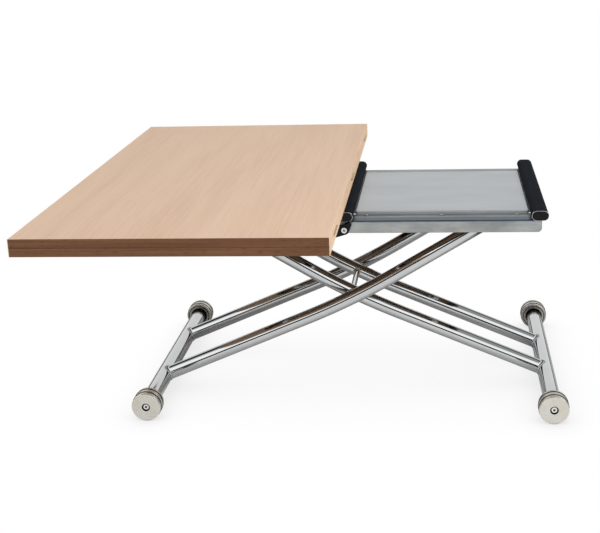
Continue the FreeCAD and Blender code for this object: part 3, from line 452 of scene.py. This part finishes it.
def make_finishes():
    """One material for each of the record's slots."""
    left_low, left_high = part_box("left_foot_tube")
    axle = (left_low + left_high) / 2
    flange_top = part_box("front_side_channel")[1].z
    recipes = {
        "oak_laminate": (wood, dict(
            dark=(215, 181, 152), mid=(226, 193, 165), pale=(231, 201, 174),
            axis=Y_AXIS, relief=0.00006, pore_run=26.0, pore_depth=0.12)),
        "dark_edge_band": (wood, dict(
            dark=(98, 63, 43), mid=(126, 87, 61), pale=(146, 106, 77),
            axis=X_AXIS, relief=0.00012, pore_run=70.0, pore_depth=0.5, seam=PAINTED_SEAM_SHADE_REACH)),
        "light_edge_band": (wood, dict(
            dark=(226, 190, 155), mid=(241, 208, 174), pale=(246, 217, 185),
            axis=Y_AXIS, relief=0.00008, pore_run=30.0, pore_depth=0.12, seam=PAINTED_SEAM_SHADE_REACH)),
        "galvanised_plate": (sheet_metal, dict(
            dark=(177, 182, 185), light=(195, 200, 203), metal=0.66, roughness=(0.32, 0.46),
            axis=X_AXIS, grain=900.0, cloud=12.0, relief=0.00002)),
        # the frame steel gets a painted dark reflection on its front flange
        "brushed_frame_steel": (sheet_metal, dict(
            dark=(128, 132, 133), light=(184, 186, 184), metal=1.0, roughness=(0.3, 0.5),
            axis=X_AXIS, grain=1300.0, cloud=34.0, relief=0.00005, painted_reflection_top=flange_top)),
        "chrome_tube": (chrome, dict(tint=(0.53, 0.54, 0.545), roughness=(0.03, 0.09))),
        "brushed_nickel": (turned_nickel, dict(foot_x=abs(axle.x), axle_z=axle.z)),
        "ring_rubber": (moulded, dict(
            dark=(20, 19, 18), light=(34, 33, 32), roughness=(0.6, 0.85),
            grain=1400.0, relief=0.00008, gloss=0.2)),
        "black_rail": (moulded, dict(
            dark=(14, 17, 23), light=(24, 29, 38), roughness=(0.5, 0.66),
            grain=1100.0, relief=0.00006, gloss=0.01)),
        "black_plastic": (moulded, dict(
            dark=(9, 10, 11), light=(18, 19, 21), roughness=(0.36, 0.6),
            grain=1500.0, relief=0.00007, gloss=0.2)),
        "zinc_steel": (plated, dict(
            dark=(214, 217, 218), light=(236, 236, 232), roughness=(0.3, 0.5),
            painted_recess_reach=PAINTED_SHADE_REACH)),
        "polished_rod": (chrome, dict(tint=(0.66, 0.67, 0.68), roughness=(0.04, 0.12))),
        "hinge_steel": (plated, dict(
            dark=(196, 158, 120), light=(220, 186, 150), roughness=(0.3, 0.5),
            painted_recess_reach=PAINTED_HINGE_SHADE_REACH)),
        "nylon": (moulded, dict(
            dark=(196, 194, 186), light=(222, 220, 212), roughness=(0.4, 0.62),
            grain=900.0, relief=0.00005, gloss=0.4)),
    }
    return {slot: make(slot, **values) for slot, (make, values) in recipes.items()}


def dress(finishes):
    """Gives every CAD node the finish of its slot in the record."""
    for row in frame["record"]["subparts"]:
        node = frame["nodes"][row["node"]]
        node.data.materials.clear()
        node.data.materials.append(finishes[row["material_slot"]])


def add_piece(name, mesh, body, slot, finishes):
    """Puts a smooth-shaded mesh on a CAD body with the finish of a slot."""
    made = bpy.data.meshes.new(name)
    bmesh.ops.recalc_face_normals(mesh, faces=mesh.faces)
    mesh.to_mesh(made)
    mesh.free()
    for face in made.polygons:
        face.use_smooth = True
    made.materials.append(finishes[slot])
    piece = bpy.data.objects.new(name, made)
    bpy.context.scene.collection.objects.link(piece)
    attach(piece, body)
    return piece


def loft_ring(mesh, rings):
    """Skins closed loops of points into one closed ring-shaped surface."""
    loops = [[mesh.verts.new(point) for point in ring] for ring in rings]
    for i, ring in enumerate(loops):
        following = loops[(i + 1) % len(loops)]
        for j in range(len(ring)):
            k = (j + 1) % len(ring)
            mesh.faces.new((ring[j], ring[k], following[k], following[j]))


def heading(lean, angle):
    """Directions along and across a leg that leans to one side at an angle above the floor."""
    run = Vector((lean * math.cos(angle), 0, math.sin(angle)))
    rise = Vector((-lean * math.sin(angle), 0, math.cos(angle)))
    return run, rise


def root_place(foot, lean, radius, turn):
    """Point where a leg's skin of one radius meets the foot tube, at an angle round the leg."""
    run, rise = heading(lean, LEG_FOOT_ANGLE)
    up = radius * math.cos(turn)
    side = radius * math.sin(turn)
    reach = math.sqrt(FOOT_R * FOOT_R - up * up)
    return foot + run * reach + rise * up + Vector((0, side, 0))


def leg_stations(foot, lean):
    """Centres along a leg and the direction across it: straight, bent, and straight again."""
    run, rise = heading(lean, LEG_FOOT_ANGLE)
    stations = [(foot + run * s, rise) for s in (LEG_ROOT, LEG_LOWER_RUN)]
    bend_centre = stations[-1][0] + rise * LEG_BEND_R
    for i in range(1, LEG_BEND_STEPS + 1):
        run, rise = heading(lean, LEG_FOOT_ANGLE + LEG_BEND_ANGLE * i / LEG_BEND_STEPS)
        stations.append((bend_centre - rise * LEG_BEND_R, rise))
    bend_end = stations[-1][0]
    stations += [(bend_end + run * s, rise) for s in (LEG_UPPER_RUN - LEG_EDGE, LEG_UPPER_RUN)]
    return stations


def leg_tube(foot, lean):
    """Bent tube with a wall, coped round its foot tube."""
    mesh = bmesh.new()
    turns = [FULL_TURN * i / LEG_SIDES for i in range(LEG_SIDES)]
    skins = []
    for radius in (LEG_R, LEG_R - LEG_WALL):
        rings = [[root_place(foot, lean, radius, turn) for turn in turns]]
        for centre, rise in leg_stations(foot, lean):
            ring = []
            for turn in turns:
                side = Vector((0, radius * math.sin(turn), 0))
                ring.append(centre + rise * (radius * math.cos(turn)) + side)
            rings.append(ring)
        skins.append(rings)
    outer, inner = skins
    loft_ring(mesh, outer + inner[::-1])
    return mesh


def weld_bead(foot, lean):
    """Rippled bead round the joint of a leg and its foot tube."""
    mesh = bmesh.new()
    rings = []
    step = FULL_TURN / BEAD_STEPS
    for i in range(BEAD_STEPS):
        turn = i * step
        before, centre, after = (root_place(foot, lean, LEG_R, turn + d) for d in (-step, 0, step))
        tangent = (after - before).normalized()
        outward = centre - foot
        outward = (outward - tangent * outward.dot(tangent)).normalized()
        across = tangent.cross(outward)
        ripple = BEAD_RIPPLE * abs(math.sin(turn * BEAD_RIPPLES / 2))
        waves = sum(share * math.sin(count * turn + start) for share, count, start in BEAD_WAVES)
        radius = BEAD_R * (BEAD_CORE + ripple + waves)
        ring = []
        for j in range(BEAD_SIDES):
            angle = FULL_TURN * j / BEAD_SIDES
            ring.append(centre + (outward * math.cos(angle) + across * math.sin(angle)) * radius)
        rings.append(ring)
    loft_ring(mesh, rings)
    return mesh


def add_legs(finishes):
    """Smooth leg tubes in place of the CAD ones, with a weld bead at each foot tube."""
    slot = "chrome_tube"
    pairs = (("left", "outer", 1, OUTER_LEG_Y), ("right", "inner", -1, INNER_LEG_Y))
    for end, pair, lean, leg_y in pairs:
        low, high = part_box(f"{end}_foot_tube")
        axle = (low + high) / 2
        body = f"{pair}_legs"
        for side, y in (("front", -leg_y), ("back", leg_y)):
            foot = Vector((axle.x, y, axle.z))
            tube_name = f"{side}_{pair}_leg_tube"
            tube = add_piece(tube_name, leg_tube(foot, lean), body, slot, finishes)
            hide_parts(f"{side}_{pair}_leg")
            bead_name = f"weld_bead_{side}_{end}"
            add_piece(bead_name, weld_bead(foot, lean), body, slot, finishes)


def oval_outline(centre, half_width, half_height, grow):
    """Points round a flat oval in the XZ plane, grown outwards by a length."""
    run = half_width - half_height
    reach = half_height + grow
    points = []
    for end, start in ((1, -90), (-1, 90)):
        for i in range(RIM_STEPS + 1):
            angle = math.radians(start + 180 * i / RIM_STEPS)
            points.append(Vector((centre.x + end * run + reach * math.cos(angle), 0,
                                  centre.z + reach * math.sin(angle))))
    return points


def add_rail_highlight_rims(finishes):
    """Painted highlight: a thin bright rim at each end of the rest rails, round the root of the
    cap.
    """
    section = ((-RIM_ROOT, -RIM_LIP), (RIM_PROUD, -RIM_LIP),
               (RIM_PROUD, RIM_WIDTH), (-RIM_ROOT, RIM_WIDTH))
    mesh = bmesh.new()
    for rail in ("left", "centre", "right"):
        low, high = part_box(f"{rail}_rest_rail")
        centre = (low + high) / 2
        half = (high - low) / 2
        outlines = [oval_outline(centre, half.x, half.z, grow) for grow, _ in section]
        for y, inward in ((low.y, 1), (high.y, -1)):
            rings = []
            for corners in zip(*outlines):
                ring = []
                for corner, (_, inset) in zip(corners, section):
                    ring.append(corner + Vector((0, y + inward * inset, 0)))
                rings.append(ring)
            loft_ring(mesh, rings)
    # painted highlight: bright rims where the caps' rounded edges catch the light
    add_piece("rest_rail_highlight_rims", mesh, "lift_frame", "polished_rod", finishes)


def add_camera():
    """Camera at the photograph's viewing angle."""
    level = math.cos(CAMERA_PITCH)
    forward = Vector((-math.sin(CAMERA_YAW) * level, math.cos(CAMERA_YAW) * level,
                      -math.sin(CAMERA_PITCH)))
    level_right = Vector((math.cos(CAMERA_YAW), math.sin(CAMERA_YAW), 0))
    level_up = level_right.cross(forward)
    right = level_right * math.cos(CAMERA_ROLL) + level_up * math.sin(CAMERA_ROLL)
    up = level_up * math.cos(CAMERA_ROLL) - level_right * math.sin(CAMERA_ROLL)
    data = bpy.data.cameras.new("camera")
    data.sensor_width = CAMERA_SENSOR
    data.lens = CAMERA_LENS
    data.shift_x = CAMERA_SHIFT_X
    camera = bpy.data.objects.new("camera", data)
    turn = Matrix((right, up, -forward)).transposed().to_4x4()
    camera.matrix_world = Matrix.Translation(CAMERA_PLACE) @ turn
    bpy.context.scene.collection.objects.link(camera)
    bpy.context.scene.camera = camera


def add_lamps():
    """Soft lamps that light the object; what mirrors show comes from the studio."""
    for name, place, size, power, colour in LAMPS:
        data = bpy.data.lights.new(name, "AREA")
        data.shape = "DISK"
        data.size = size
        data.energy = power
        data.color = colour
        lamp = bpy.data.objects.new(name, data)
        lamp.visible_glossy = False
        lamp.location = place
        lamp.rotation_euler = (LAMP_TARGET - place).to_track_quat("-Z", "Y").to_euler()
        bpy.context.scene.collection.objects.link(lamp)


def floor_material():
    """One-sided: it bounces light up, and to the camera it is clear but for the shadow on it."""
    material = bpy.data.materials.new("floor")
    material.use_nodes = True
    material.cycles.emission_sampling = "NONE"
    material.node_tree.nodes.clear()
    nodes = Nodes(material.node_tree)
    camera_ray, mirrored = nodes.ray_kinds()
    paper = nodes.node("ShaderNodeBsdfDiffuse")
    nodes.feed(paper.inputs["Color"], FLOOR_GREY)
    level = nodes.step(nodes.axes(nodes.coordinate("Object"))["Y"], **FLOOR_MIRROR)
    glow = nodes.node("ShaderNodeEmission")
    nodes.feed(glow.inputs["Strength"], nodes.calc("MULTIPLY", mirrored, level))
    lit = nodes.node("ShaderNodeAddShader")
    nodes.feed(lit.inputs[0], paper.outputs["BSDF"])
    nodes.feed(lit.inputs[1], glow.outputs["Emission"])
    open_share = nodes.occlusion(SHADOW_REACH, SHADOW_SAMPLES)
    shadow = nodes.node("ShaderNodeBsdfTransparent")
    nodes.feed(shadow.inputs["Color"], nodes.ramp(open_share, *SHADOW_STOPS))
    clear = nodes.node("ShaderNodeBsdfTransparent")
    from_below = nodes.node("ShaderNodeNewGeometry").outputs["Backfacing"]
    above = nodes.pick(camera_ray, lit.outputs["Shader"], shadow.outputs["BSDF"])
    out = nodes.node("ShaderNodeOutputMaterial")
    nodes.feed(out.inputs["Surface"], nodes.pick(from_below, above, clear.outputs["BSDF"]))
    return material


def add_floor():
    """Wide floor under the wheels, as stage."""
    reach = FLOOR_REACH
    corners = [(-reach, -reach, 0), (reach, -reach, 0), (reach, reach, 0), (-reach, reach, 0)]
    mesh = bpy.data.meshes.new("floor")
    mesh.from_pydata(corners, [], [(0, 1, 2, 3)])
    mesh.materials.append(floor_material())
    floor = bpy.data.objects.new("floor", mesh)
    bpy.context.scene.collection.objects.link(floor)


def studio_light(nodes):
    """Grey levels of the studio by direction: bright in front, dimmer behind and overhead."""
    axes = nodes.axes(nodes.coordinate("Generated"))
    front = nodes.ramp(axes["Z"], *STUDIO_FRONT)
    back = nodes.ramp(axes["Z"], *STUDIO_BACK)
    walls = nodes.blend(nodes.step(axes["Y"], **STUDIO_CHANGE), front, back)
    below = nodes.step(axes["Z"], **STUDIO_BELOW)
    overhead = nodes.step(axes["Z"], **CEILING_HEIGHT)
    ceiling = nodes.calc("MULTIPLY", overhead, nodes.step(axes["X"], **CEILING_SIDE))
    return nodes.calc("ADD", nodes.calc("ADD", walls, below), ceiling)


def add_world():
    """White to the camera, the studio in mirrors, and soft even light for the rest."""
    world = bpy.data.worlds.new("studio")
    bpy.context.scene.world = world
    world.use_nodes = True
    world.node_tree.nodes.clear()
    nodes = Nodes(world.node_tree)
    levels = studio_light(nodes)
    lights = []
    for colour, strength in ((WHITE, EVEN_LIGHT), (levels, STUDIO_LIGHT), (WHITE, CAMERA_LIGHT)):
        light = nodes.node("ShaderNodeBackground")
        nodes.feed(light.inputs["Color"], colour)
        nodes.feed(light.inputs["Strength"], strength)
        lights.append(light.outputs["Background"])
    even_light, studio, camera_light = lights
    camera_ray, mirrored = nodes.ray_kinds()
    unseen = nodes.pick(mirrored, even_light, studio)
    out = nodes.node("ShaderNodeOutputWorld")
    nodes.feed(out.inputs["Surface"], nodes.pick(camera_ray, unseen, camera_light))


finishes = make_finishes()
dress(finishes)
add_legs(finishes)
add_rail_highlight_rims(finishes)
add_camera()
add_floor()
add_world()
add_lamps()
bpy.context.scene.view_settings.view_transform = "Standard"
